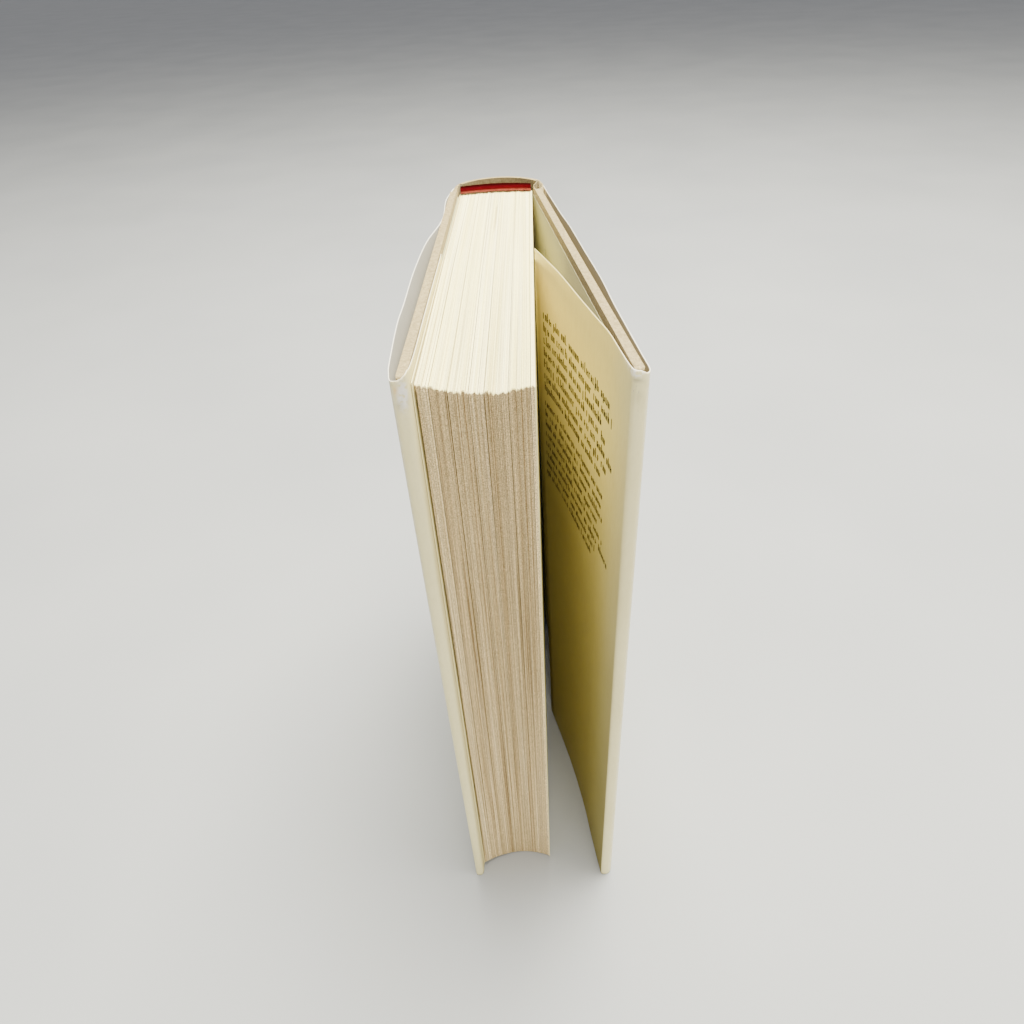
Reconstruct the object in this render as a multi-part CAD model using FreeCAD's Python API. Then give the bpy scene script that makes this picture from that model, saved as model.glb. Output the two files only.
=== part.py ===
import FreeCAD, Part
import math
import os
from FreeCAD import Vector

# A case-bound book in a dust jacket, standing on its tail, in millimetres.
# +Z is up, the fore-edge looks along -Y, the spine along +Y and the rear cover is on the +X side.
# The front cover is shut. The rear cover stands a little open and its jacket flap has sprung off it.

# The block of pages.
page_height = 234.0
page_width = 153.0
block_thickness = 28.5
flyleaf_thickness = 0.18

# How the heavy block sags: each leaf turns in its own plane about its corner at the tail of the spine.
rear_leaf_turn = 0.0155  # radians, at the rear leaf, growing evenly from none at the front leaf
middle_leaf_turn = 0.0095  # radians more at the middle leaf
rear_leaf_setback = 4.0  # how far behind the front leaf the rear leaf stands
middle_leaf_setback = 4.0  # how much further back the middle leaf stands, the round of the spine
block_sections = 7  # leaves that the block's rounded surfaces are drawn through

# The case.
head_square = 3.0  # how far the boards stand out past the pages at head and tail
fore_edge_square = 2.8
board_thickness = 1.9
cloth_thickness = 0.25
cloth_turn_in = 15.0
board_edge_radius = 0.45
endpaper_thickness = 0.12
pastedown_margin = 3.0
joint_width = 4.5  # from the hinge line to the board's spine-side edge
hinge_behind_block = 2.3  # the hinge line stands this far out from the side of the block
hinge_before_spine = 3.5  # and this far in front of the front leaf's spine edge
rear_cover_forward = 1.3  # the rear cover stands this much nearer the fore-edge than the front one
rear_opening = 8.2  # degrees, as the book stands
joint_gap = 0.6  # from the hinge line to the cloth on either side of it

# The spine.
inlay_thickness = 1.0
inlay_front_overhang = 0.0
inlay_rear_overhang = 2.5
inlay_edge_setback = 3.3  # the inlay's edges stand this far behind the front leaf's spine edge
inlay_rise = 7.6  # from its edges to its crown
mull_thickness = 0.25
mull_end_margin = 14.0
mull_flange = 22.0
liner_thickness = 0.2
liner_end_margin = 0.5
lining_side_margin = 0.05  # share of the block's thickness left bare at each side of the spine
glue_gap = 0.13  # the linings are flat between the block's sections, the block is round
liner_gap = 0.03
band_radius = 1.1
band_overlap = 0.2  # how far the bead's middle stands in from the pages' spine edge
band_tape_length = 12.0
band_sides = 12

# The dust jacket.
jacket_thickness = 0.15
jacket_arc_tolerance = 0.03  # how far the arcs a curve is drawn with may lie off it
jacket_foot = 0.25  # the jacket's tail edge stands this far above the boards' tail edges
jacket_head_gap = 0.5  # and its head edge this far below their head edges
jacket_flap_width = 84.0
jacket_flap_gap = 0.15  # from the shut front flap to the flyleaf
flap_back_gap = 0.05  # and from its back to the pastedown
jacket_spine_gap = 0.05
fold_play = 1.9  # from the board's fore-edge to the outside of the jacket's fold
flap_start = 2.5  # both flaps leave the fold this far in from the board's fore-edge
flap_seam = 0.1  # between the rear fold and the sprung flap, two nodes of one sheet
sprung_flap_lift = 0.1  # how far the rear flap starts off the pastedown
sprung_flap_reach_gap = 0.3  # from its free edge to the pages
sprung_flap_curl = 1.8  # power of its curve
sprung_flap_points = 6
spine_jacket_front_start = 1.3  # from the hinge line to where the spine panel starts
spine_jacket_front_dip = 1.0  # and how far inside the cloth's outer face
spine_jacket_rear_start = 0.6
spine_jacket_rear_stand = 1.0  # and how far outside it

# How far the jacket's panels stand off the cloth, by share of the way from hinge line to fore-edge.
front_bulge = ((0.009, -0.55), (0.032, 0.3), (0.08, 0.8), (0.24, 0.25), (0.384, 3.4), (0.555, 4.0),
               (0.758, 3.7), (0.942, 2.8))
rear_bulge = ((0.034, 1.4), (0.055, 1.5), (0.217, 2.2), (0.32, 3.9), (0.47, 2.4), (0.63, 2.9),
              (0.764, 1.4), (0.934, 1.1))
# The folds round the fore-edge, as distances past the board's edge and levels off the block's side.
front_fold = ((-2.0, 5.3), (0.6, 4.6), (1.6, 3.0), (fold_play, 1.7), (1.2, 0.6), (-0.4, jacket_flap_gap))
rear_fold = ((-2.0, 4.0), (0.7, 3.7), (1.7, 2.7), (fold_play, 1.4), (1.1, 0.3), (-0.4, 0.08))

# Levels above the side of the block, outwards through a shut cover.
flap_back_level = jacket_flap_gap + jacket_thickness
pastedown_level = flap_back_level + flap_back_gap
turn_in_level = pastedown_level + endpaper_thickness
board_level = turn_in_level + cloth_thickness
board_outer_level = board_level + board_thickness
cover_outer_level = board_outer_level + cloth_thickness
sprung_level = pastedown_level - sprung_flap_lift - jacket_thickness

# Places that follow from the sizes.
cover_height = page_height + 2 * head_square
jacket_head = cover_height - jacket_head_gap
front_hinge_y = page_width - hinge_before_spine
rear_hinge_y = front_hinge_y - rear_cover_forward
cover_reach = front_hinge_y + fore_edge_square
board_reach = cover_reach - cloth_thickness
rear_hinge = Vector(block_thickness + hinge_behind_block, rear_hinge_y, 0)
up = Vector(0, 0, 1)


def face_of(edges):
    return Part.Face(Part.Wire(Part.__sortEdges__(edges)))


def polygon_face(points):
    corners = [Vector(x, y, 0) for x, y in points]
    return Part.Face(Part.makePolygon(corners + corners[:1]))


def raised(face, low, high):
    return face.translated(up * low).extrude(up * (high - low))


# The block: every leaf is a rectangle, set back and turned by its share of the way across.
def leaf_point(share, from_spine, above_tail):
    crown = 4 * share * (1 - share)
    turn = rear_leaf_turn * share + middle_leaf_turn * crown
    setback = rear_leaf_setback * share + middle_leaf_setback * crown
    y = page_width + setback - from_spine * math.cos(turn) - above_tail * math.sin(turn)
    z = head_square + above_tail * math.cos(turn) - from_spine * math.sin(turn)
    return Vector(block_thickness * share, y, z)


def leaf_outline(share, near, far, low, high):
    corners = [leaf_point(share, a, h) for a, h in ((near, low), (far, low), (far, high), (near, high))]
    return Part.makePolygon(corners + corners[:1])


def leaves(first, last, count, near, far, low, high, ruled=False):
    shares = [first + (last - first) * i / (count - 1) for i in range(count)]
    outlines = [leaf_outline(share, near, far, low, high) for share in shares]
    return Part.makeLoft(outlines, True, ruled)


def spine_layer(inner, thickness, low, high):
    side = lining_side_margin
    return leaves(side, 1 - side, block_sections, -inner - thickness, -inner, low, high, ruled=True)


flyleaf_share = flyleaf_thickness / block_thickness


def text_block():
    return leaves(flyleaf_share, 1 - flyleaf_share, block_sections, 0, page_width, 0, page_height)


def flyleaf(first, last):
    return leaves(first, last, 2, 0, page_width, 0, page_height)


def band(above_tail, outward):
    """A bead along the edge of the spine with its tape glued down behind the pages."""
    rings = []
    for i in range(block_sections):
        share = lining_side_margin + (1 - 2 * lining_side_margin) * i / (block_sections - 1)
        centre = leaf_point(share, band_overlap, above_tail) + up * outward * (band_radius + glue_gap)
        corners = []
        for k in range(band_sides):
            angle = 2 * math.pi * (k + 0.5) / band_sides
            corners.append(centre + Vector(0, math.cos(angle), math.sin(angle)) * band_radius)
        rings.append(Part.makePolygon(corners + corners[:1]))
    bead = Part.makeLoft(rings, True, True)
    inward = above_tail - outward * band_tape_length
    tip = above_tail + outward * band_radius
    tape = spine_layer(glue_gap, mull_thickness, min(inward, tip), max(inward, tip))
    return bead.fuse(tape).removeSplitter()


def spine_mull():
    return spine_layer(glue_gap, mull_thickness, mull_end_margin, page_height - mull_end_margin)


def spine_liner():
    inner = glue_gap + mull_thickness + liner_gap
    return spine_layer(inner, liner_thickness, liner_end_margin, page_height - liner_end_margin)


# The spine of the case: one arc through the inlay's two edges and its crown, seen from above.
inlay_edge_y = page_width + inlay_edge_setback
inlay_left = -inlay_front_overhang
inlay_right = block_thickness + inlay_rear_overhang
half_chord = (inlay_right - inlay_left) / 2
spine_radius = (half_chord ** 2 + inlay_rise ** 2) / (2 * inlay_rise)
spine_centre = Vector(inlay_left + half_chord, inlay_edge_y + inlay_rise - spine_radius, 0)
spine_half_angle = math.asin(half_chord / spine_radius)


def on_spine(radius, share):
    """A point on an arc round the spine, share running from -1 at its front edge to 1 at the rear."""
    angle = spine_half_angle * share
    return spine_centre + Vector(math.sin(angle), math.cos(angle), 0) * radius


def spine_band(inner, outer):
    arcs = [Part.Arc(*[on_spine(r, share) for share in (-1, 0, 1)]).toShape() for r in (inner, outer)]
    ends = [Part.makeLine(on_spine(inner, share), on_spine(outer, share)) for share in (-1, 1)]
    return face_of(arcs + ends)


inlay_inner = spine_radius - inlay_thickness
cloth_outer = spine_radius + cloth_thickness


def spine_inlay():
    return raised(spine_band(inlay_inner, spine_radius), cloth_thickness, cover_height - cloth_thickness)


def joint_strip(share, inner, outer, start_inner, start_outer):
    """A straight strip from the spine's edge to its start near the hinge line."""
    ends = [on_spine(inner, share), on_spine(outer, share)]
    return polygon_face([start_inner, (ends[0].x, ends[0].y), (ends[1].x, ends[1].y), start_outer])


def spine_cloth():
    whole = raised(spine_band(inlay_inner - cloth_thickness, cloth_outer), 0, cover_height)
    hollow = raised(spine_band(inlay_inner - cloth_thickness, inlay_inner), cloth_turn_in,
                    cover_height - cloth_turn_in)
    cloth = whole.cut(hollow).cut(spine_inlay())
    front = joint_strip(-1, spine_radius, cloth_outer,
                        (-turn_in_level, front_hinge_y + joint_gap),
                        (-board_level, front_hinge_y + joint_gap))
    rear = joint_strip(1, spine_radius, cloth_outer,
                       (block_thickness + turn_in_level, rear_hinge_y + joint_gap),
                       (block_thickness + board_level, rear_hinge_y + joint_gap))
    strips = [raised(face, 0, cover_height) for face in (front, rear)]
    return cloth.fuse(strips).removeSplitter()


# A cover is drawn shut, as the rear one: u runs from the hinge line to the fore-edge and level runs
# outwards from the side of the block.
def cover_point(u, level, z=0):
    return Vector(block_thickness + level, rear_hinge_y - u, z)


def cover_slab(u_low, u_high, level_low, level_high, z_low, z_high):
    corner = cover_point(u_high, level_low, z_low)
    return Part.makeBox(level_high - level_low, u_high - u_low, z_high - z_low, corner)


def rounded_fore_edge(slab, u, radius):
    """Rounds every edge that lies wholly at or beyond u, which are those of the fore-edge."""
    edge_y = rear_hinge_y - u
    found = [e for e in slab.Edges if max(v.Y for v in e.Vertexes) < edge_y + 0.01]
    return slab.makeFillet(radius, found)


def board():
    slab = cover_slab(joint_width, board_reach, board_level, board_outer_level,
                      cloth_thickness, cover_height - cloth_thickness)
    return rounded_fore_edge(slab, board_reach, board_edge_radius)


def board_cloth():
    radius = board_edge_radius + cloth_thickness
    wrap = cover_slab(joint_width - cloth_thickness, cover_reach, turn_in_level, cover_outer_level,
                      0, cover_height)
    wrap = rounded_fore_edge(wrap, cover_reach, radius)
    bare = cover_slab(joint_width, cover_reach - cloth_turn_in, turn_in_level, board_level,
                      cloth_turn_in, cover_height - cloth_turn_in)
    strip = cover_slab(joint_gap, joint_width - cloth_thickness, turn_in_level, board_level,
                       0, cover_height)
    return wrap.cut(bare).cut(board()).fuse(strip).removeSplitter()


def mull_hinge():
    return cover_slab(joint_width, joint_width + mull_flange, turn_in_level, board_level,
                      cloth_turn_in, cover_height - cloth_turn_in)


def pastedown():
    """A sheet over the turn-ins that sinks to the bare board between them."""
    sheet = cover_slab(joint_gap, cover_reach - pastedown_margin, pastedown_level, turn_in_level,
                       pastedown_margin, cover_height - pastedown_margin)
    start = joint_width + mull_flange
    stop = cover_reach - cloth_turn_in
    foot = cloth_turn_in
    top = cover_height - cloth_turn_in
    sunk = cover_slab(start, stop, pastedown_level, board_level, foot, top)
    wall = endpaper_thickness
    dish = cover_slab(start + wall, stop - wall, pastedown_level, board_level - wall,
                      foot + wall, top - wall)
    return sheet.fuse(sunk).cut(dish).removeSplitter()


# A sheet of the jacket is upright paper of one thickness, drawn from above along its outside.
def jacket_sheet(points, straight_end=None):
    """The sheet through points, with a straight run on to straight_end; its thickness lies inwards."""
    curve = Part.BSplineCurve()
    curve.interpolate(points)
    run = [arc.toShape() for arc in curve.toBiArcs(jacket_arc_tolerance)]
    if straight_end:
        run.append(Part.makeLine(points[-1], straight_end))
    outline = Part.Wire(run).makeOffset2D(jacket_thickness, fill=True, openResult=True)
    return raised(outline, jacket_foot, jacket_head)


def jacket_panel(bulge, fold, straight_end=None):
    """The panel from the joint to the fore-edge and round its fold to where the flap starts."""
    outer = cover_outer_level + jacket_thickness
    points = [cover_point(cover_reach * share, outer + off) for share, off in bulge]
    points += [cover_point(cover_reach + u, level) for u, level in fold]
    return jacket_sheet(points, straight_end)


def jacket_front():
    """The front panel, its fold and the flap tucked in between the board and the pages."""
    flap_end = cover_point(cover_reach + fold_play - jacket_flap_width, jacket_flap_gap)
    return jacket_panel(front_bulge, front_fold + ((-flap_start, jacket_flap_gap),), flap_end)


def jacket_rear():
    """The rear panel and its fold, up to where the flap springs off."""
    return jacket_panel(rear_bulge, rear_fold + ((-flap_start, sprung_level),))


def rear_flap():
    """The sprung flap, curling from the fold until its free edge meets the pages."""
    start = cover_reach - flap_start - flap_seam
    width = jacket_flap_width - fold_play - flap_start - flap_seam
    angle = math.radians(rear_opening)
    opened = (hinge_behind_block + (start - width) * math.sin(angle)) / math.cos(angle)
    lift = opened - hinge_behind_block + sprung_level - sprung_flap_reach_gap
    points = []
    for i in range(sprung_flap_points):
        share = i / (sprung_flap_points - 1)
        points.append(cover_point(start - width * share, sprung_level - lift * share ** sprung_flap_curl))
    return jacket_sheet(points)


def jacket_spine():
    """The spine panel, with the strips that bridge the joints to the two covers."""
    inner = cloth_outer + jacket_spine_gap
    outer = inner + jacket_thickness
    front_y = front_hinge_y + spine_jacket_front_start
    front_x = -cover_outer_level + spine_jacket_front_dip
    rear_y = rear_hinge_y + spine_jacket_rear_start
    rear_x = block_thickness + cover_outer_level + spine_jacket_rear_stand
    front = joint_strip(-1, inner, outer, (front_x, front_y), (front_x - jacket_thickness, front_y))
    rear = joint_strip(1, inner, outer, (rear_x, rear_y), (rear_x + jacket_thickness, rear_y))
    faces = [spine_band(inner, outer), front, rear]
    solids = [raised(face, jacket_foot, jacket_head) for face in faces]
    return solids[0].fuse(solids[1:]).removeSplitter()


def as_rear(shape):
    """Swings a shut cover's piece open about the rear hinge line."""
    turned = shape.copy()
    turned.rotate(rear_hinge, up, rear_opening)
    return turned


def as_front(shape):
    """The front cover is the rear one mirrored, and stands further back."""
    other = shape.mirror(Vector(block_thickness / 2, 0, 0), Vector(1, 0, 0))
    return other.translated(Vector(0, rear_cover_forward, 0))


def book():
    return {
        "text_block": text_block(),
        "front_flyleaf": flyleaf(0.0, flyleaf_share),
        "rear_flyleaf": flyleaf(1 - flyleaf_share, 1.0),
        "head_band": band(page_height, 1),
        "tail_band": band(0.0, -1),
        "spine_mull": spine_mull(),
        "spine_liner": spine_liner(),
        "spine_inlay": spine_inlay(),
        "spine_cloth": spine_cloth(),
        "jacket_spine": jacket_spine(),
        "front_board": as_front(board()),
        "front_board_cloth": as_front(board_cloth()),
        "front_mull_hinge": as_front(mull_hinge()),
        "front_pastedown": as_front(pastedown()),
        "jacket_front": as_front(jacket_front()),
        "rear_board": as_rear(board()),
        "rear_board_cloth": as_rear(board_cloth()),
        "rear_mull_hinge": as_rear(mull_hinge()),
        "rear_pastedown": as_rear(pastedown()),
        "jacket_rear": as_rear(jacket_rear()),
        "rear_flap": as_rear(rear_flap()),
    }


def main():
    os.makedirs("parts", exist_ok=True)
    pieces = book()
    box = Part.Compound(list(pieces.values())).optimalBoundingBox(False, False)
    to_origin = Vector(-box.Center.x, -box.Center.y, -box.ZMin)
    for name, shape in pieces.items():
        placed = shape.translated(to_origin)
        placed.exportStep(os.path.join("parts", name + ".step"))
        print(name, placed.isValid(), len(placed.Solids), round(placed.Volume, 1), len(placed.Faces))
    front_hinge = Vector(-hinge_behind_block, front_hinge_y, 0)
    print("origin moved by", to_origin)
    print("front hinge", front_hinge + to_origin)
    print("rear hinge", rear_hinge + to_origin)
    print("box", box.XLength, box.YLength, box.ZLength)


main()
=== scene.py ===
import bpy
import math
import random
from mathutils import Matrix, Vector


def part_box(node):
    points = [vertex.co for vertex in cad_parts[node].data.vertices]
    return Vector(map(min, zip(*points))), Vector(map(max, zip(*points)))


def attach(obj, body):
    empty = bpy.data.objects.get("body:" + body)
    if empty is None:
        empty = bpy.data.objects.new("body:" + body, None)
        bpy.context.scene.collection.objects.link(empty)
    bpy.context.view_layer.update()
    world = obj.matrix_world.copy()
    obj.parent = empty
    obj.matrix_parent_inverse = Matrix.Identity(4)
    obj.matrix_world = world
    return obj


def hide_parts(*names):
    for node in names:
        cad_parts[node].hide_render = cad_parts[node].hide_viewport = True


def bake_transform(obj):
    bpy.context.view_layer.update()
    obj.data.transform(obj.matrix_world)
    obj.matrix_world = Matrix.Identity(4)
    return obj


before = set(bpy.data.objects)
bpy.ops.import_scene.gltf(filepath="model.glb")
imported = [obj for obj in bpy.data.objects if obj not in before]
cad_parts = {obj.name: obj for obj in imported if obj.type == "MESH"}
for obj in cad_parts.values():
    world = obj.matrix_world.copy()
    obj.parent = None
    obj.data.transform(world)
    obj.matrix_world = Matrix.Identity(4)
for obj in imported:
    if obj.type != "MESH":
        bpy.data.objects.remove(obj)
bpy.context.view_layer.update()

# Drawn in millimetres from the front leaf's corner at the fore-edge: x runs across the pages towards
# the rear cover, y towards the spine and z up.
PAGE_W, PAGE_H, BLOCK, SQUARE = 153.0, 234.0, 28.5, 3.0
FLYLEAF = 0.18  # thickness of a flyleaf
CASE_H = PAGE_H + 2 * SQUARE
FORE_EDGE_SQUARE = 2.8
ORIGIN = Vector((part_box("front_flyleaf")[0][0],
                 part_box("front_board_cloth")[0][1] + FORE_EDGE_SQUARE / 1000, 0))


def at(x, y, z):
    return ORIGIN + Vector((x, y, z)) / 1000


# Camera, solved from the photograph's edges. RIGHT, UP and BACK are the directions of its axes.
SENSOR, LENS = 36, 25.28
EYE = (29.6, -146.8, 316.3)
RIGHT, UP, BACK = (0.9987, 0.0173, -0.0479), (0.0264, 0.6278, 0.7780), (0.0435, -0.7782, 0.6264)
camera = bpy.data.objects.new("camera", bpy.data.cameras.new("camera"))
bpy.context.scene.collection.objects.link(camera)
camera.data.sensor_width = SENSOR
camera.data.lens = LENS
camera.data.clip_start = 0.01
camera.data.dof.use_dof = False
turn = Matrix((RIGHT, UP, BACK)).transposed().to_4x4()
camera.matrix_world = Matrix.Translation(at(*EYE)) @ turn
bpy.context.scene.camera = camera


# Materials.
WHITE = (1.0, 1.0, 1.0)
# Dark greenish brown for the painted shade low on the rear flap.
OLIVE_PAINTED_SHADE = (0.16, 0.13, 0.008)
WORN_PAPER = (0.92, 0.90, 0.86)
# The second colour is a dark brown for dirt and for painted shade below the crumpled head corners.
STAIN, SOIL_AND_SHADE = (0.78, 0.48, 0.10), (0.055, 0.036, 0.014)
# Paler, yellower leaves at the ends of the fore-edge, painted light at the rear end, and the painted
# shade of the gaps between leaves.
LIGHT_LEAVES, GAP_SHADE = (0.84, 0.73, 0.50), (0.27, 0.20, 0.09)


class Nodes:
    """Short names for building one node material."""

    def __init__(self, name):
        self.material = bpy.data.materials.new(name)
        self.material.use_nodes = True
        self.tree = self.material.node_tree
        self.shader = self.tree.nodes["Principled BSDF"]

    def add(self, kind, inputs=None, **settings):
        node = self.tree.nodes.new(kind)
        for key, value in settings.items():
            setattr(node, key, value)
        for key, value in (inputs or {}).items():
            self.put(node, key, value)
        return node

    def put(self, node, key, value):
        socket = node.inputs[key]
        if isinstance(value, bpy.types.NodeSocket):
            self.tree.links.new(value, socket)
        else:
            socket.default_value = value

    def place(self, scale):
        coordinates = self.add("ShaderNodeTexCoord").outputs["Object"]
        return self.add("ShaderNodeMapping", {"Vector": coordinates, "Scale": scale}).outputs["Vector"]

    def noise(self, scale, stretch=(1, 1, 1), detail=2.0, rough=0.5):
        return self.add("ShaderNodeTexNoise", {
            "Vector": self.place(stretch), "Scale": scale, "Detail": detail, "Roughness": rough,
        }).outputs["Fac"]

    def ramp(self, value, *stops):
        node = self.add("ShaderNodeValToRGB", {"Fac": value})
        elements = node.color_ramp.elements
        while len(elements) < len(stops):
            elements.new(0.5)
        for element, (place, colour) in zip(elements, stops):
            element.position = place
            element.color = (*colour, 1)
        return node.outputs["Color"]

    def grey(self, value, low, high, dark=0.0, light=1.0):
        return self.add("ShaderNodeMapRange", {
            "Value": value, "From Min": low, "From Max": high, "To Min": dark, "To Max": light,
        }).outputs["Result"]

    def mix(self, factor, first, second, blend="MIX"):
        node = self.add("ShaderNodeMix", data_type="RGBA", blend_type=blend)
        for socket, value in zip((node.inputs[0], node.inputs[6], node.inputs[7]),
                                 (factor, first, second)):
            if isinstance(value, bpy.types.NodeSocket):
                self.tree.links.new(value, socket)
            elif isinstance(value, tuple):
                socket.default_value = (*value, 1)
            else:
                socket.default_value = value
        return node.outputs[2]

    def shaded(self, colour, amount, value, *stops):
        """The colour multiplied by a ramp of value, as strongly as amount says."""
        return self.mix(amount, colour, self.ramp(value, *stops), "MULTIPLY")

    def math(self, operation, first, second=0.0):
        node = self.add("ShaderNodeMath", operation=operation)
        self.put(node, 0, first)
        self.put(node, 1, second)
        return node.outputs[0]

    def attribute(self, name):
        return self.add("ShaderNodeAttribute", attribute_name=name).outputs["Fac"]

    def bump(self, height, strength, distance):
        return self.add("ShaderNodeBump", {
            "Height": height, "Strength": strength, "Distance": distance,
        }).outputs["Normal"]

    def finish(self, colour, roughness, normal=None, sheen=0.0, specular=0.3):
        self.put(self.shader, "Base Color", colour)
        self.put(self.shader, "Roughness", roughness)
        self.put(self.shader, "Specular IOR Level", specular)
        self.put(self.shader, "Sheen Weight", sheen)
        if normal:
            self.put(self.shader, "Normal", normal)
        return self.material


def page_edge_material():
    """The cut edges of the leaves: streaks that run along every leaf, tan in front and cream on top; much
    of that difference is painted shade on the fore-edge.
    """
    n = Nodes("page_edges")
    fine = n.noise(1.0, (6400, 10, 10), 3.0, 0.6)
    middle = n.noise(1.0, (2300, 8, 8), 2.0)
    broad = n.noise(1.0, (700, 5, 5), 2.0)
    grain = n.noise(3200, detail=4.0, rough=0.75)
    cream = n.ramp(broad, (0.35, (0.97, 0.92, 0.43)), (0.6, (1.0, 0.97, 0.57)))
    tan = n.ramp(broad, (0.3, (0.53, 0.42, 0.25)), (0.55, (0.62, 0.51, 0.32)),
                 (0.75, (0.69, 0.58, 0.39)))
    # The leaves before the first deep gap are paler and yellower; the pale strip of leaves at the rear
    # end is painted light.
    tan = n.mix(n.attribute("light"), tan, LIGHT_LEAVES)
    normal = n.add("ShaderNodeNewGeometry").outputs["Normal"]
    split = n.add("ShaderNodeSeparateXYZ", {"Vector": normal})
    top = n.grey(split.outputs["Z"], 0.25, 0.65)  # 0 on the fore-edge and 1 on the head
    # Painted shade: by the normal, the front-facing fore-edge is painted much darker than the head, which
    # faces up to the light; only part of the difference is the edges' own warmer tone.
    colour = n.mix(top, tan, cream)
    # Each pattern is stronger on the fore-edge than on the head.
    colour = n.shaded(colour, n.grey(top, 0, 1, 1.0, 0.42), fine, (0.36, (0.42, 0.36, 0.28)),
                      (0.46, (0.90, 0.88, 0.83)), (0.6, (1.2, 1.2, 1.18)))
    colour = n.shaded(colour, n.grey(top, 0, 1, 0.9, 0.7), middle, (0.34, (0.80, 0.77, 0.71)),
                      (0.46, WHITE))
    colour = n.shaded(colour, n.grey(top, 0, 1, 1.0, 0.25), grain, (0.40, (0.60, 0.57, 0.51)),
                      (0.5, WHITE), (0.6, (1.6, 1.56, 1.42)))
    # Painted shade in the gaps between leaves, in the slot, on the sunk first leaves and in the hollow by
    # the front fold.
    colour = n.mix(n.attribute("painted_gap_shade"), colour, GAP_SHADE)
    height = n.math("ADD", n.math("MULTIPLY", fine, 0.7), n.math("MULTIPLY", grain, 0.5))
    return n.finish(colour, 0.92, n.bump(height, 0.6, 0.00012), specular=0.15)


def paper_material(name, plain, toned=None):
    """Paper whose colour moves from plain to toned, to a dark greenish painted shade, to worn and
    stained, and to dark brown by dirt and painted shade, by attributes."""
    n = Nodes(name)
    cloud = n.noise(28, detail=4.0)
    fibre = n.noise(900, (1, 1, 0.35), detail=4.0, rough=0.65)
    scratch = n.noise(1.0, (700, 700, 45), detail=3.0)
    colour = n.mix(n.attribute("tone"), plain, toned or plain)
    # Painted shade: darkens the rear flap towards its foot and its free edge.
    colour = n.mix(n.attribute("olive_painted_shade"), colour, OLIVE_PAINTED_SHADE)
    colour = n.shaded(colour, 0.5, cloud, (0.3, (0.88, 0.86, 0.80)), (0.65, WHITE))
    colour = n.shaded(colour, 0.35, fibre, (0.3, (0.86, 0.85, 0.80)), (0.6, WHITE))
    colour = n.shaded(colour, 0.15, scratch, (0.36, (0.90, 0.88, 0.83)), (0.5, WHITE))
    patchy = n.math("MULTIPLY", n.attribute("wear"), n.grey(n.noise(900, detail=3.0), 0.36, 0.5))
    colour = n.mix(patchy, colour, WORN_PAPER)
    colour = n.mix(n.attribute("stain"), colour, STAIN)
    # Dark brown spots of dirt and painted shade below the crumpled head corners.
    colour = n.mix(n.attribute("soil_and_shade"), colour, SOIL_AND_SHADE)
    return n.finish(colour, 0.7, n.bump(fibre, 0.25, 0.00008), specular=0.3)


def cloth_material(dark, light):
    n = Nodes("book_cloth")
    weave_a = n.noise(1.0, (3200, 3200, 1400), 2.0)
    weave_b = n.noise(1.0, (1500, 1500, 3400), 2.0)
    blotch = n.noise(650, detail=4.0, rough=0.6)
    weave = n.math("MULTIPLY", weave_a, weave_b)
    colour = n.mix(n.grey(weave, 0.14, 0.36), dark, light)
    colour = n.shaded(colour, 0.75, blotch, (0.36, (0.66, 0.62, 0.57)), (0.5, (0.9, 0.88, 0.86)),
                      (0.64, (1.1, 1.08, 1.05)))
    return n.finish(colour, 0.85, n.bump(weave, 0.5, 0.00012), sheen=0.05, specular=0.2)


def mull_material():
    n = Nodes("mull")
    across = n.noise(1.0, (1500, 1500, 120), 1.0)
    along = n.noise(1.0, (120, 120, 1500), 1.0)
    weave = n.math("MAXIMUM", across, along)
    colour = n.ramp(weave, (0.45, (0.42, 0.38, 0.28)), (0.6, (0.80, 0.77, 0.68)))
    return n.finish(colour, 0.9, n.bump(weave, 0.8, 0.0002), sheen=0.1, specular=0.15)


def fibre_material(name, dark, light, scale):
    n = Nodes(name)
    fibre = n.noise(scale, detail=5.0, rough=0.7)
    colour = n.mix(n.grey(fibre, 0.3, 0.7), dark, light)
    return n.finish(colour, 0.9, n.bump(fibre, 0.5, 0.00015), specular=0.2)


def band_material():
    """Red thread, pink at the fringe towards the pages and nearly black along the top, a painted shadow
    under the case's edge.
    """
    n = Nodes("band_thread")
    cloud = n.noise(700, detail=3.0)
    colour = n.mix(n.attribute("thread"), (0.03, 0.001, 0.002), (0.11, 0.004, 0.009))
    colour = n.mix(n.attribute("fringe"), colour, (0.48, 0.14, 0.14))
    colour = n.shaded(colour, 0.5, cloud, (0.35, (0.6, 0.55, 0.55)), (0.6, WHITE))
    colour = n.mix(n.attribute("shadow"), colour, (0.012, 0.001, 0.001))
    return n.finish(colour, 0.75, n.bump(cloud, 0.4, 0.0001), specular=0.0)


def ink_material():
    n = Nodes("ink")
    blot = n.grey(n.noise(3000, detail=3.0), 0.3, 0.7)
    colour = n.mix(blot, (0.018, 0.013, 0.005), (0.07, 0.052, 0.02))
    return n.finish(colour, 0.75, specular=0.2)


def floor_material():
    n = Nodes("floor")
    colour = n.ramp(n.noise(6, detail=2.0), (0.3, (0.33, 0.35, 0.39)), (0.7, (0.36, 0.38, 0.42)))
    return n.finish(colour, 0.9, specular=0.1)


PAGE_EDGE = page_edge_material()
JACKET_OUTSIDE = paper_material("jacket_outside", (0.84, 0.775, 0.45), (0.95, 0.83, 0.34))
JACKET_REVERSE = paper_material("jacket_reverse", (0.70, 0.70, 0.68), (0.40, 0.36, 0.28))
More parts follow.
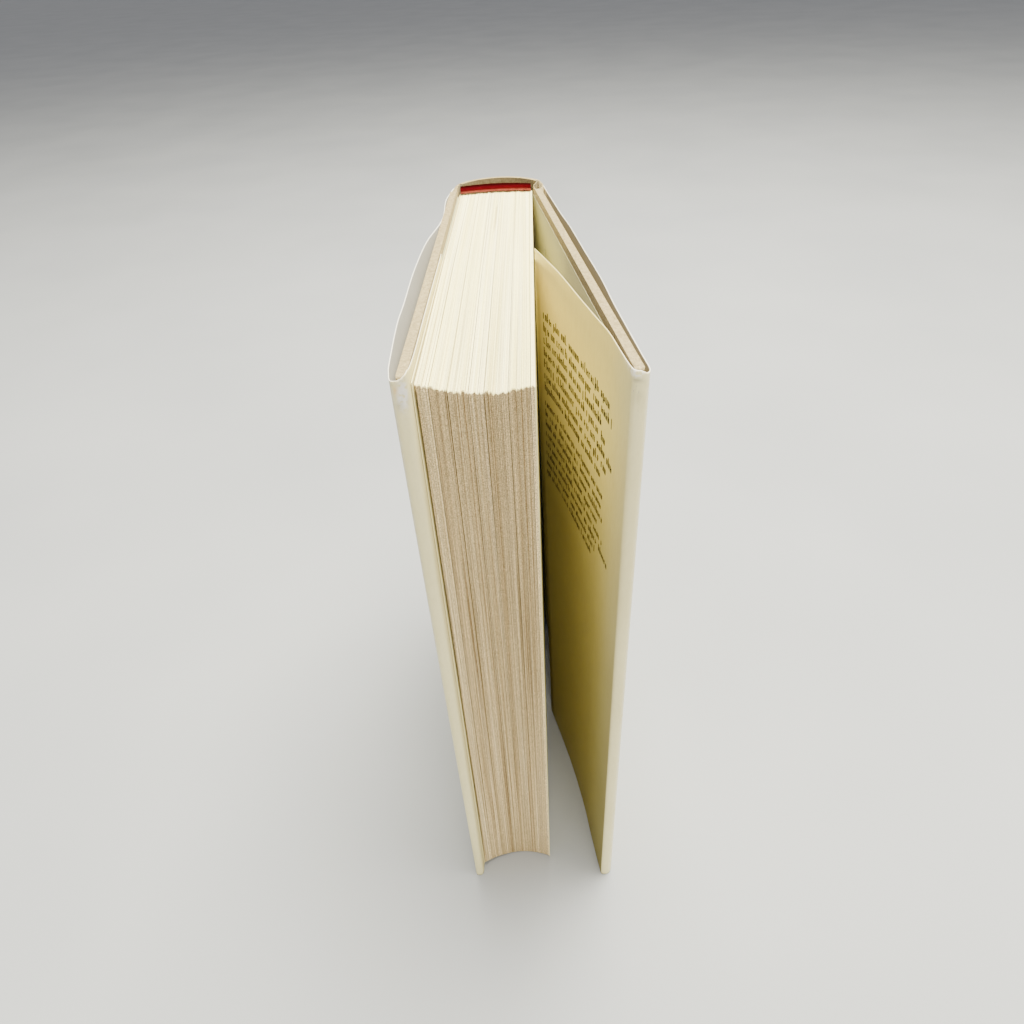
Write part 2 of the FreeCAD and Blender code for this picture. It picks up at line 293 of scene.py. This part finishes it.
# Painted shade: a darker copy of the jacket's reverse for the rear half, whose inside faces away from the
# light.
REAR_REVERSE_PAINTED_SHADE = paper_material("jacket_rear_reverse_painted_shade", (0.53, 0.49, 0.40), (0.40, 0.36, 0.28))
JACKET_EDGE = paper_material("jacket_edge", (0.93, 0.91, 0.86), (0.80, 0.70, 0.38))
PASTEDOWN = paper_material("pastedown", (0.76, 0.75, 0.48))
FLYLEAF_PAPER = paper_material("flyleaf", (0.93, 0.86, 0.48))
CLOTH = cloth_material((0.25, 0.20, 0.105), (0.41, 0.34, 0.19))
MULL = mull_material()
KRAFT = fibre_material("kraft", (0.36, 0.25, 0.14), (0.55, 0.40, 0.25), 900)
BOARD = fibre_material("pulp_board", (0.30, 0.28, 0.24), (0.52, 0.49, 0.44), 1400)
BAND = band_material()
INK = ink_material()

# The solids that no piece here replaces are dressed as they are.
SOLID_LOOKS = {
    "front_flyleaf": FLYLEAF_PAPER, "rear_flyleaf": FLYLEAF_PAPER,
    "front_pastedown": PASTEDOWN, "rear_pastedown": PASTEDOWN,
    "tail_band": BAND, "spine_liner": KRAFT, "spine_inlay": BOARD,
    "spine_mull": MULL, "front_mull_hinge": MULL, "rear_mull_hinge": MULL,
    "front_board": BOARD, "rear_board": BOARD,
    "spine_cloth": CLOTH, "front_board_cloth": CLOTH, "rear_board_cloth": CLOTH,
}
for name, material in SOLID_LOOKS.items():
    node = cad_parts[name]
    for held in node.material_slots:
        held.material = material
    if not node.material_slots:
        node.data.materials.append(material)


# Shared mesh helpers.
def new_piece(name, vertices, faces, materials, indexes=None, attributes=None, smooth=True):
    """An object of its own; indexes gives each face's material and attributes each corner's values."""
    mesh = bpy.data.meshes.new(name)
    mesh.from_pydata([at(*v) for v in vertices], [], faces)
    for material in materials:
        mesh.materials.append(material)
    if indexes:
        mesh.polygons.foreach_set("material_index", indexes)
    mesh.polygons.foreach_set("use_smooth", [smooth] * len(faces))
    for key, values in (attributes or {}).items():
        mesh.attributes.new(key, "FLOAT", "POINT").data.foreach_set("value", values)
    mesh.update()
    piece = bpy.data.objects.new(name, mesh)
    bpy.context.scene.collection.objects.link(piece)
    return piece


def tube_faces(count, ring):
    """Faces of a closed body of count rings, each with ring corners."""
    faces = []
    for i in range(count - 1):
        for j in range(ring):
            k = (j + 1) % ring
            faces.append((i * ring + j, i * ring + k, (i + 1) * ring + k, (i + 1) * ring + j))
    faces.append(tuple(range(ring))[::-1])
    faces.append(tuple((count - 1) * ring + j for j in range(ring)))
    return faces


def catmull(points, t):
    """A point on the smooth curve through points, t counting the points passed."""
    i = min(int(t), len(points) - 2)
    f = t - i
    p1, p2 = points[i], points[i + 1]
    p0 = points[i - 1] if i else [2 * a - b for a, b in zip(p1, p2)]
    p3 = points[i + 2] if i + 2 < len(points) else [2 * b - a for a, b in zip(p1, p2)]
    return [0.5 * (2 * b + (c - a) * f + (2 * a - 5 * b + 4 * c - d) * f * f
                   + (3 * b - a - 3 * c + d) * f ** 3) for a, b, c, d in zip(p0, p1, p2, p3)]


def smoothstep(low, high, value):
    """From 0 at low to 1 at high, level at both ends."""
    t = min(max((value - low) / (high - low), 0), 1)
    return t * t * (3 - 2 * t)


def bow(share):
    """An even arch over 0 to 1 that stands at 1 in the middle."""
    return 4 * share * (1 - share)


# Pages. Lead is how far a leaf stands back at the fore-edge, and down how far at the head.
LEAVES = 200
LEAN_ACROSS, LEAN_CROWN = 0.0155, 0.0095  # radians by which a leaf leans forward about its tail
SETBACK = 4.0
DARK_GAPS = (3.4, 7.7, 12.5, 16.2, 22.0, 27.3)  # where the deepest gaps between leaves lie, painted darkest as painted shade
GAP, DARK_GAP = 0.02, 0.09  # widths of the gap before a leaf
GAP_LEAD, GAP_DOWN = 0.9, 0.7  # how much deeper the darkest gap is than its leaf
SLOT_X, SLOT_HALF, SLOT_DEPTH = 15.1, 0.45, 0.9  # a shallow slot in the head, near the spine, painted dark as painted shade
SUNK_LEAVES, SUNK_LEAD, SUNK_DOWN = 2, 1.2, 2.0  # the first leaves stand further back and down, and are painted darker as painted shade
HOLLOW_X, HOLLOW_DEPTH = 0.75, 1.8  # a gap between the leaves and the front fold, deepened and painted dark as painted shade
CORNER_IN, CORNER_DOWN = 0.5, 1.2  # how the corners of the middle leaves are worn
HEAD_CORNER = PAGE_H - 0.25
WAVE_SIZE, WAVE_ACROSS = 0.025, 0.9


def leaf_point(x, from_spine, above_tail):
    """A point on the leaf at x, which is turned in its own plane about its corner at the tail."""
    share = x / BLOCK
    crown = bow(share)
    lean = LEAN_ACROSS * share + LEAN_CROWN * crown
    setback = SETBACK * (share + crown)
    y = PAGE_W + setback - from_spine * math.cos(lean) - above_tail * math.sin(lean)
    z = SQUARE + above_tail * math.cos(lean) - from_spine * math.sin(lean)
    return x, y, z


def leaf_groups(draw, width):
    """The first leaf of each group that stands together, with how dark the gap before it is."""
    starts = {round((gap - FLYLEAF) / width): 1.0 for gap in DARK_GAPS}
    leaf = 0
    while leaf < LEAVES:
        starts.setdefault(leaf, draw.uniform(0.1, 0.45))
        leaf += draw.randint(6, 12)
    return sorted(starts.items())


def page_profile(draw):
    """Rows across the block: x, lead, down, painted shade, part of the slot and lightness, which at the
    rear end is painted light.
    """
    width = (BLOCK - 2 * FLYLEAF) / LEAVES
    profile = []
    groups = leaf_groups(draw, width)
    for place, (first, dark) in enumerate(groups):
        after = groups[place + 1][0] if place + 1 < len(groups) else LEAVES
        group_in, group_down = draw.uniform(-0.05, 0.45), draw.uniform(0.0, 0.5)
        for i in range(first, after):
            share = (i - first + 0.5) / (after - first)
            arch = bow(share)
            lead = group_in + 0.45 * arch + draw.uniform(0, 0.22)
            down = group_down + 0.3 * (1 - arch) + draw.uniform(0, 0.25)
            x = FLYLEAF + i * width
            if i < SUNK_LEAVES:
                lead, down = lead + SUNK_LEAD, down + SUNK_DOWN
            down *= 1 - 0.6 * smoothstep(0.75, 1, x / BLOCK)
            # Paler leaves at both ends; at the rear end this is painted light.
            light = 0.45 * (x < DARK_GAPS[0]) + 0.9 * (x > DARK_GAPS[-1])
            slot = max(0, 1 - abs(x - SLOT_X) / SLOT_HALF)
            sunk = 0.6 * (i < SUNK_LEAVES)
            deep = dark if i == first else draw.choice((0, 0, 0.1, 0.3))
            gap = GAP
            if deep == 1.0:
                lead, down, sunk = lead + 0.5, down + 0.5, max(sunk, 0.8)
                gap = DARK_GAP
            # Painted shade: the deeper gaps and the sunk first leaves are painted darker.
            dim = max(deep, sunk)
            profile.append((x, lead + GAP_LEAD * deep, down + GAP_DOWN * deep, dim, slot, light))
            profile.append((x + gap, lead + 0.5 * deep, down + 0.5 * deep, dim, slot, light))
            profile.append((x + gap + GAP, lead, down, sunk, slot, light))
            profile.append((x + 0.96 * width, lead + draw.uniform(0, 0.05), down, sunk, slot, light))
    profile.append((BLOCK - FLYLEAF, 0.3, 0.2, 0.0, 0.0, 0.9))
    return profile


def leaf_rounds():
    """Places round a leaf: up the back, over the head, down the fore-edge and under the tail."""
    over_head = (0.4, 6, 14, 20, 30, 40, 50, 60, 80, 100, 120, 138, 148, PAGE_W - 0.25)
    down_front = (HEAD_CORNER, 230, 222, 205, 185, 160, 130, 100, 70, 40, 15, 0.4)
    return ([("spine", h) for h in (0, 60, 120, 180, PAGE_H - 0.4)]
            + [("head", a) for a in over_head]
            + [("fore", h) for h in down_front]
            + [("tail", a) for a in (PAGE_W - 0.4, 120, 80, 40, 0.4)])


def relief_point(row, side, value, wave):
    """A corner of the leaf that row tells of, at a place round it, with how much painted shade it has
    there.
    """
    x, lead, down, deep, slot, _ = row
    share = x / BLOCK
    crown = bow(share)
    corner_in = lead - CORNER_IN * crown
    corner_down = down + CORNER_DOWN * crown - 0.5 * smoothstep(0.7, 1, share)
    if side == "spine":
        return leaf_point(x, 0, value), 0.3 * deep
    if side == "tail":
        return leaf_point(x, value, 0), 0.3 * deep
    if side == "head":
        near = smoothstep(70, PAGE_W, value)
        open_slot = slot * smoothstep(12, 20, value) * (1 - smoothstep(36, 50, value))
        drop = down * (0.35 + 0.65 * near) + (corner_down - down) * near + wave
        drop += SLOT_DEPTH * open_slot
        point = leaf_point(x, value - corner_in * near, PAGE_H - drop)
        return point, max(deep * (0.2 + 0.7 * smoothstep(30, 140, value)), 0.45 * open_slot)
    near = smoothstep(140, PAGE_H, value)
    hollow = (x < HOLLOW_X) * smoothstep(0, 25, value) * (1 - smoothstep(231, PAGE_H, value))
    back = lead * (0.35 + 0.65 * smoothstep(0, 60, value)) - CORNER_IN * crown * near + wave
    point = leaf_point(x, PAGE_W - back - HOLLOW_DEPTH * hollow, value - corner_down * near)
    return point, max(deep * (0.25 + 0.65 * smoothstep(20, 180, value)), 0.9 * hollow)


def pages():
    """The block of leaves, with the relief of its head and fore-edge."""
    draw = random.Random(7)
    profile = page_profile(draw)
    rounds = leaf_rounds()
    # Slow waves that the leaves share; each has a start, a pace along the edge and a phase.
    waves = [(draw.uniform(0, 6.3), draw.uniform(0.015, 0.05), draw.uniform(0, 6.3)) for _ in range(8)]
    vertices, gap_shades, lights = [], [], []
    for row in profile:
        across = row[0] * WAVE_ACROSS
        for side, value in rounds:
            wave = sum(WAVE_SIZE * math.sin(a + value * pace + across + b) for a, pace, b in waves)
            point, dark = relief_point(row, side, value, wave)
            vertices.append(point)
            gap_shades.append(dark)
            lights.append(row[-1])
    piece = new_piece("pages", vertices, tube_faces(len(profile), len(rounds)), [PAGE_EDGE],
                      attributes={"painted_gap_shade": gap_shades, "light": lights}, smooth=False)
    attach(piece, "text")
    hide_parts("text_block")


# Jacket. Each half is drawn from outlines of its outside seen from above, which run from the crown of
# the spine over the cover, round the fold and along the flap. A place on one is t, counting its points.
PAPER = 0.15
FOOT, HEAD = 0.25, CASE_H - 0.5
SPINE_CENTRE, SPINE_RADIUS, SPINE_HALF = (15.5, 144.294), 19.98, math.radians(52.25)
SPINE_SHARES = (0, 0.25, 0.5, 0.75, 1)


def spine_at(share):
    """A point on the spine's arc, 0 at its crown and 1 at its edge on the rear cover's side."""
    angle = SPINE_HALF * share
    x, y = SPINE_CENTRE
    return x + SPINE_RADIUS * math.sin(angle), y + SPINE_RADIUS * math.cos(angle)


FRONT_START = [spine_at(-share) for share in SPINE_SHARES] + [(-2.0, 151.5), (-2.9, 146.5)]
FRONT_FLAP = [(-0.5, -3.1), (-0.16, -1.6), (-0.16, 0.6), (-0.16, 13.0), (-0.18, 32.0), (-0.18, 56.0),
              (-0.18, 79.0)]
FRONT_HEAD = FRONT_START + [
    (-3.75, 141.0), (-3.9, 134.0), (-3.3, 113.0), (-6.2, 91.3), (-7.1, 65.8), (-6.9, 41.3), (-6.9, 27.8),
    (-5.6, 6.0), (-5.0, 0.4), (-4.35, -2.5), (-3.3, -3.5), (-1.6, -3.6)] + FRONT_FLAP
FRONT_FOOT = FRONT_START + [
    (-3.3, 141.0), (-3.4, 134.0), (-3.2, 113.0), (-4.2, 91.3), (-4.6, 65.8), (-4.5, 41.3), (-4.4, 27.8),
    (-3.8, 6.0), (-3.7, 0.0), (-3.5, -2.5), (-2.9, -3.5), (-1.5, -3.6)] + FRONT_FLAP
REAR_START = [spine_at(share) for share in SPINE_SHARES] + [(33.2, 149.5), (34.6, 140.3), (36.4, 128.0)]
REAR_HEAD = REAR_START + [
    (38.4, 115.8), (41.2, 100.5), (44.4, 77.8), (47.7, 53.6), (49.6, 33.4), (51.4, 18.2), (53.0, 7.7),
    (54.1, 0.9), (54.2, -2.2), (53.3, -3.8), (51.8, -4.2), (50.4, -3.5), (49.7, -1.2), (48.3, 8.1),
    (46.8, 16.4), (45.0, 24.0), (40.7, 40.6), (35.9, 57.9), (28.95, 78.8)]
REAR_FOOT = REAR_START + [
    (38.3, 115.8), (40.8, 100.5), (44.0, 77.8), (47.5, 53.6), (50.4, 33.4), (52.6, 18.2), (54.1, 7.7),
    (54.8, 1.2), (54.3, -1.9), (53.2, -3.1), (51.8, -3.5), (50.4, -3.1), (49.9, -1.5), (47.9, 9.5),
    (46.5, 18.0), (45.1, 27.0), (41.4, 44.5), (37.0, 61.0), (31.2, 80.5)]
FRONT_FOLD, REAR_FOLD = 17.5, 18.0  # t at the middle of each fold
STEPS = 5  # stretches of the sheet between two points of an outline
# Heights of the sheet's rows, from 0 at the foot to 1 at the head, closest at the worn head.
LEVELS = [0, 0.006, 0.03, 0.08, 0.16, 0.26, 0.38, 0.5, 0.62, 0.74, 0.84, 0.9, 0.94, 0.962, 0.974, 0.981,
          0.986, 0.99, 0.993, 0.9955, 0.998, 1]
FLARE = 0.4  # the change from foot to head would start this share of the height below the foot


def jacket_point(head, foot, t, level):
    """A point of the sheet from above, between its outlines at the foot and at the head."""
    a, b = catmull(foot, t), catmull(head, t)
    base = smoothstep(-FLARE, 1.0, 0)
    share = (smoothstep(-FLARE, 1.0, level) - base) / (1 - base)
    return a[0] + (b[0] - a[0]) * share, a[1] + (b[1] - a[1]) * share


def sheet_columns(head, foot, stops, rise_at):
    """The sheet's outside as columns of points, one at each stop along it."""
    columns = []
    for t in stops:
        column = []
        for level in LEVELS:
            x, y = jacket_point(head, foot, t, level)
            z = FOOT + (HEAD - FOOT) * level
            z += rise_at(t) * smoothstep(0.8, 1.0, level)
            column.append(Vector((x, y, z)))
        columns.append(column)
    return columns


def sheet_faces(count, rows, side):
    """Faces of a sheet and the material of each. Its corners are those of its outside, in count columns,
    those of its inside, and then again the first column of both: the rim on the spine has its own
    corners, so that the two sheets meet there without a line."""
    outside, inside, edge = 0, 1, 2
    half = count * rows
    rim = 2 * half
    faces, indexes = [], []

    def quad(a, b, c, d, index):
        faces.append((a, b, c, d) if side > 0 else (d, c, b, a))
        indexes.append(index)

    for i in range(count - 1):
        for j in range(rows - 1):
            a, b = i * rows + j, (i + 1) * rows + j
            quad(a, b, b + 1, a + 1, outside)
            quad(half + a + 1, half + b + 1, half + b, half + a, inside)
        a, b = i * rows, (i + 1) * rows
        quad(half + a, half + b, b, a, edge)
        a, b = a + rows - 1, b + rows - 1
        quad(a, b, half + b, half + a, edge)
    for j in range(rows - 1):
        quad(rim + rows + j, rim + j, rim + j + 1, rim + rows + j + 1, edge)
        a = (count - 1) * rows + j
        quad(a, half + a, half + a + 1, a + 1, edge)
    return faces, indexes


def sheet_piece(name, head, foot, side, rise_at, dent, looks, reverse):
    """A sheet of paper with two faces and a rim. side says which way its outside looks, rise_at how far
    its head edge stands up, dent how far it is pushed outwards, looks its attributes and reverse the
    material of its inside."""
    stops = [i / STEPS for i in range((len(head) - 1) * STEPS + 1)]
    columns = sheet_columns(head, foot, stops, rise_at)
    rows, last_column = len(LEVELS), len(columns) - 1
    outer, inner = [], []
    for i, column in enumerate(columns):
        for j, point in enumerate(column):
            run = columns[min(i + 1, last_column)][j] - columns[max(i - 1, 0)][j]
            rise = column[min(j + 1, rows - 1)] - column[max(j - 1, 0)]
            normal = run.cross(rise).normalized() * side
            pushed = point + normal * dent(stops[i], LEVELS[j])
            outer.append(pushed)
            inner.append(pushed - normal * PAPER)
    vertices = outer + inner + outer[:rows] + inner[:rows]
    faces, indexes = sheet_faces(len(columns), rows, side)
    attributes = {}
    for key, look in looks.items():
        values = [look(t, level) for t in stops for level in LEVELS]
        attributes[key] = values * 2 + values[:rows] * 2
    return new_piece(name, vertices, faces, [JACKET_OUTSIDE, reverse, JACKET_EDGE], indexes, attributes)


def head_wave(seed):
    """How far the head edge stands up at t: a few slow waves, which die out at the spine's crown."""
    draw = random.Random(seed)
    waves = [(draw.uniform(0.5, 2.4), draw.uniform(0, 6.3), draw.uniform(0.05, 0.14)) for _ in range(6)]
    return lambda t: (sum(size * math.sin(pace * t + phase) for pace, phase, size in waves)
                      * smoothstep(0, 2, t) - 0.15)


def spot(t, level, centre_t, centre_level, wide, high):
    """One at the centre of a soft round patch of the sheet, falling to nothing round it."""
    return math.exp(-((t - centre_t) / wide) ** 2 - ((level - centre_level) / high) ** 2)


def crease(t, centre_t):
    """A soft line of wear that runs up the whole sheet."""
    return math.exp(-((t - centre_t) / 0.4) ** 2)


def jacket_front():
    """The half of the jacket over the front cover, its head corner crumpled and scuffed."""
    wave = head_wave(3)

    def rise_at(t):
        return wave(t) + 1.6 * smoothstep(17.2, 19.2, t) * (1 - smoothstep(20.0, 22.0, t))

    def dent(t, level):
        return 0.3 * spot(t, level, 18.0, 0.985, 0.9, 0.012) * math.sin(9 * t + 700 * level)

    def tone(t, level):
        return 0.25 * smoothstep(FRONT_FOLD + 1, FRONT_FOLD + 4, t)

    def wear(t, level):
        chip = spot(t, level, 18.1, 0.983, 0.9, 0.012)
        return min(1.0, chip * 1.6 + 0.3 * crease(t, 16.2))

    def stain(t, level):
        return 0.6 * spot(t, level, 17.1, 0.99, 0.35, 0.005)

    # Painted shade: dark brown spots below the crumpled corner, on both sides of the fold.
    def soil_and_shade(t, level):
        outside = 0.35 * spot(t, level, 17.4, 0.976, 0.6, 0.004)
        return outside + 0.3 * spot(t, level, 18.9, 0.977, 0.5, 0.004)

    piece = sheet_piece("jacket_front_sheet", FRONT_HEAD, FRONT_FOOT, 1, rise_at, dent,
                        {"tone": tone, "wear": wear, "stain": stain, "soil_and_shade": soil_and_shade}, JACKET_REVERSE)
    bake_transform(piece)
    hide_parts("jacket_front", "jacket_spine")


def jacket_rear():
    """The half over the rear cover, whose flap has sprung off the board."""
    wave = head_wave(11)

    def rise_at(t):
        return wave(t) + 1.3 * smoothstep(16.6, 18.2, t) * (1 - smoothstep(19.4, 21.4, t))

    def dent(t, level):
        lip = 0.35 * spot(t, level, 18.6, 0.9945, 1.1, 0.0025)
        return lip + 0.2 * spot(t, level, 18.4, 0.978, 1.3, 0.012) * math.sin(8 * t - 500 * level)

    def tone(t, level):
        return smoothstep(REAR_FOLD + 0.8, REAR_FOLD + 4.5, t)

    def wear(t, level):
        torn = 1.6 * spot(t, level, 18.8, 0.9985, 1.2, 0.005)
        return min(1.0, torn + 0.35 * crease(t, 16.4))

    # Painted shade: the flap is painted dark greenish brown towards its foot and, low down, towards its
    # free edge.
    def olive_painted_shade(t, level):
        down = 1 - level
        by_fold = 0.08 + 1.35 * down - 0.6 * down * down
        by_free_edge = 0.78 * (1 - smoothstep(0.66, 0.93, level))
        across = smoothstep(REAR_FOLD + 2.5, REAR_FOLD + 7.5, t)
        on_flap = smoothstep(REAR_FOLD + 0.8, REAR_FOLD + 1.8, t)
        return on_flap * (by_fold + (by_free_edge - by_fold) * across)

    # A painted shadow under the lifted lip, and a dark brown spot below the crumpled corner.
    def soil_and_shade(t, level):
        under_lip = 0.45 * spot(t, level, 18.4, 0.9905, 0.8, 0.002)
        return under_lip + 0.2 * spot(t, level, 18.0, 0.975, 0.7, 0.003)

    # Its inside takes the darker copy of the reverse, which is painted shade.
    piece = sheet_piece("jacket_rear_sheet", REAR_HEAD, REAR_FOOT, -1, rise_at, dent,
                        {"tone": tone, "wear": wear, "olive_painted_shade": olive_painted_shade, "soil_and_shade": soil_and_shade}, REAR_REVERSE_PAINTED_SHADE)
    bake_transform(piece)
    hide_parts("jacket_rear", "rear_flap")


# Print: two blocks of rows of small flat strokes on the rear flap.
PRINT_OFF = 0.04  # off the paper
PRINT_LEFT = 7.0  # from the flap's free edge to where each row starts
# Each block's first height, the pitch of its rows, its strokes' height and where its rows end.
PRINT_BLOCKS = ((219.6, 4.31, 2.0, (68, 72, 62, 66, 72, 68, 62)),
                (187.6, 4.18, 1.75, (66, 64, 66, 61, 66, 74, 60, 55)))


def flap_table():
    """Places along the flap from its free edge: distance and t, at the head."""
    last, parts = len(REAR_HEAD) - 1, 120
    table, walked, before = [], 0.0, None
    for i in range(parts + 1):
        t = last - (last - REAR_FOLD - 2) * i / parts
        here = Vector(catmull(REAR_HEAD, t))
        if before:
            walked += (here - before).length
        table.append((walked, t))
        before = here
    return table


def flap_spot(table, distance, z):
    """A point of the print: so far from the flap's free edge, at height z, just off the paper."""
    for (d0, t0), (d1, t1) in zip(table, table[1:]):
        if d0 <= distance <= d1:
            t = t0 + (t1 - t0) * (distance - d0) / (d1 - d0)
            break
    level = (z - FOOT) / (HEAD - FOOT)
    # The sheet is flat between the places that it is drawn through, so the print is laid on those.
    low_t = math.floor(t * STEPS) / STEPS
    spots = []
    for place in (low_t, low_t + 1 / STEPS):
        row = max(i for i in range(len(LEVELS) - 1) if LEVELS[i] <= level)
        share = (level - LEVELS[row]) / (LEVELS[row + 1] - LEVELS[row])
        a = Vector(jacket_point(REAR_HEAD, REAR_FOOT, place, LEVELS[row]))
        b = Vector(jacket_point(REAR_HEAD, REAR_FOOT, place, LEVELS[row + 1]))
        spots.append(a + (b - a) * share)
    along = (spots[1] - spots[0]).normalized()
    point = spots[0] + (spots[1] - spots[0]) * (t - low_t) * STEPS
    normal = Vector((along.y, -along.x))
    if normal.x > 0:
        normal = -normal
    point = point + normal * PRINT_OFF
    return point.x, point.y, z


def flap_print():
    """Rows of strokes in random groups: a stem each time, and mostly a second stem and a cross stroke."""
    draw = random.Random(21)
    table = flap_table()
    vertices, faces = [], []

    def stroke(d0, d1, z0, z1):
        start = len(vertices)
        for d, z in ((d0, z0), (d1, z0), (d1, z1), (d0, z1)):
            vertices.append(flap_spot(table, d, z))
        faces.append((start, start + 1, start + 2, start + 3))

    def row(z, size, end):
        d = PRINT_LEFT
        while d < end:
            for _ in range(draw.randint(2, 9)):
                wide = size * draw.uniform(0.55, 0.95)
                tall = size * (1.55 if draw.random() < 0.22 else 1.0)
                drop = size * 0.45 if draw.random() < 0.1 else 0.0
                stem = size * 0.32
                if d + wide > end:
                    return
                stroke(d, d + stem, z - drop, z + tall)
                if draw.random() < 0.75:
                    stroke(d + wide - stem, d + wide, z, z + size * draw.uniform(0.7, 1.0))
                if draw.random() < 0.8:
                    across = z + size * draw.choice((0.0, 0.42, 0.82))
                    stroke(d + stem * 0.5, d + wide - stem * 0.5, across, across + size * 0.19)
                d += wide + size * 0.22
            d += size * 0.75

    for first, pitch, size, ends in PRINT_BLOCKS:
        for i, end in enumerate(ends):
            row(first - i * pitch, size, end)
    piece = new_piece("flap_print", vertices, faces, [INK], smooth=False)
    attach(piece, "rear_cover")


# Head band.
BAND_TURNS, BAND_AROUND = 60, 18  # turns of thread, and corners round the bead
BAND_CLEAR, BAND_TOP = 0.05, CASE_H - 0.25


def head_band():
    """A sewn bead that fills the space between the pages and the spine of the case."""
    vertices, threads, fringes, shadows = [], [], [], []
    per_turn = 4
    length = BAND_TURNS * per_turn
    for i in range(length + 1):
        share = 0.015 + 0.97 * i / length
        crown = bow(share)
        x, y, z = leaf_point(BLOCK * share, 0.1, PAGE_H)
        half = (BAND_TOP - z - BAND_CLEAR) / 2
        ridge = 0.5 + 0.5 * math.cos(2 * math.pi * i / per_turn)
        for j in range(BAND_AROUND):
            angle = 2 * math.pi * j / BAND_AROUND
            c, s = math.cos(angle), math.sin(angle)
            reach = 1.0 + 2.2 * crown if c > 0 else 2.0 - 0.7 * share
            vertices.append((x, y + reach * c * (0.95 + 0.05 * ridge),
                             z + BAND_CLEAR + half + half * s * (0.96 + 0.04 * ridge)))
            threads.append(0.25 + 0.75 * ridge)
            fringes.append(smoothstep(-0.05, 0.7, -s) * smoothstep(0.0, 0.5, -c) * (0.35 + 0.65 * ridge))
            # Painted shadow along the top and back of the bead.
            shadows.append(0.95 * smoothstep(0.4, 0.9, s + 0.5 * max(c, 0)))
    piece = new_piece("head_band_threads", vertices, tube_faces(length + 1, BAND_AROUND), [BAND],
                      attributes={"thread": threads, "fringe": fringes, "shadow": shadows})
    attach(piece, "text")
    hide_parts("head_band")


# Cloth over the two joints, each drawn along the middle of its thickness as seen from above.
JOINT_CLOTH = 0.5
FRONT_JOINT = ((-0.15, 156.1), (-1.0, 153.3), (-1.35, 151.0), (-1.55, 148.6), (-1.7, 146.3),
               (-1.75, 145.4))
REAR_JOINT = ((31.1, 156.1), (31.9, 153.2), (32.5, 150.4), (32.7, 147.6), (32.3, 145.4), (31.6, 144.2))


def joint_cloth(name, outline, side):
    """The covering cloth where it crosses the groove between the spine and a board."""
    steps, levels = 4, 24
    line = [catmull(outline, i / steps) for i in range((len(outline) - 1) * steps + 1)]
    heights = [CASE_H * j / levels for j in range(levels + 1)]
    rows = len(heights)
    outer, inner = [], []
    for i, (x, y) in enumerate(line):
        ahead, behind = line[min(i + 1, len(line) - 1)], line[max(i - 1, 0)]
        along = Vector((ahead[0] - behind[0], ahead[1] - behind[1])).normalized()
        out = Vector((along.y, -along.x)) * side
        for z in heights:
            outer.append((x + out.x * JOINT_CLOTH / 2, y + out.y * JOINT_CLOTH / 2, z))
            inner.append((x - out.x * JOINT_CLOTH / 2, y - out.y * JOINT_CLOTH / 2, z))
    half = len(outer)
    faces = []
    for i in range(len(line) - 1):
        a, b = i * rows, (i + 1) * rows
        for j in range(rows - 1):
            faces.append((a + j, b + j, b + j + 1, a + j + 1))
            faces.append((half + a + j + 1, half + b + j + 1, half + b + j, half + a + j))
        faces.append((half + a, half + b, b, a))
        faces.append((a + rows - 1, b + rows - 1, half + b + rows - 1, half + a + rows - 1))
    for j in range(rows - 1):
        a = (len(line) - 1) * rows + j
        faces.append((half + j, j, j + 1, half + j + 1))
        faces.append((a, half + a, half + a + 1, a + 1))
    piece = new_piece(name, outer + inner, faces, [CLOTH])
    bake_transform(piece)


pages()
jacket_front()
jacket_rear()
flap_print()
head_band()
joint_cloth("front_joint_cloth", FRONT_JOINT, 1)
joint_cloth("rear_joint_cloth", REAR_JOINT, -1)


# Floor and light, in metres.
FLOOR = 60
floor_mesh = bpy.data.meshes.new("floor")
floor_corners = [(-FLOOR, -FLOOR, 0), (FLOOR, -FLOOR, 0), (FLOOR, FLOOR, 0), (-FLOOR, FLOOR, 0)]
floor_mesh.from_pydata(floor_corners, [], [(0, 1, 2, 3)])
floor_mesh.materials.append(floor_material())
floor = bpy.data.objects.new("floor", floor_mesh)
bpy.context.scene.collection.objects.link(floor)


def area_light(name, place, aim, size, power, colour):
    lamp = bpy.data.lights.new(name, "AREA")
    lamp.shape = "DISK"
    lamp.size = size
    lamp.energy = power
    lamp.color = colour
    item = bpy.data.objects.new(name, lamp)
    bpy.context.scene.collection.objects.link(item)
    item.location = place
    item.rotation_euler = (Vector(aim) - Vector(place)).to_track_quat("-Z", "Y").to_euler()


area_light("overhead", (0.22, 0.22, 1.5), (0, 0, 0.15), size=1.0, power=124, colour=(1.0, 0.94, 0.75))
area_light("front_fill", (0.4, -1.6, 1.1), (0, 0, 0.12), size=1.2, power=27, colour=(1.0, 0.92, 0.72))
world = bpy.data.worlds.new("world")
bpy.context.scene.world = world
world.use_nodes = True
world.node_tree.nodes["Background"].inputs["Color"].default_value = (1.0, 0.97, 0.92, 1)
world.node_tree.nodes["Background"].inputs["Strength"].default_value = 0.6
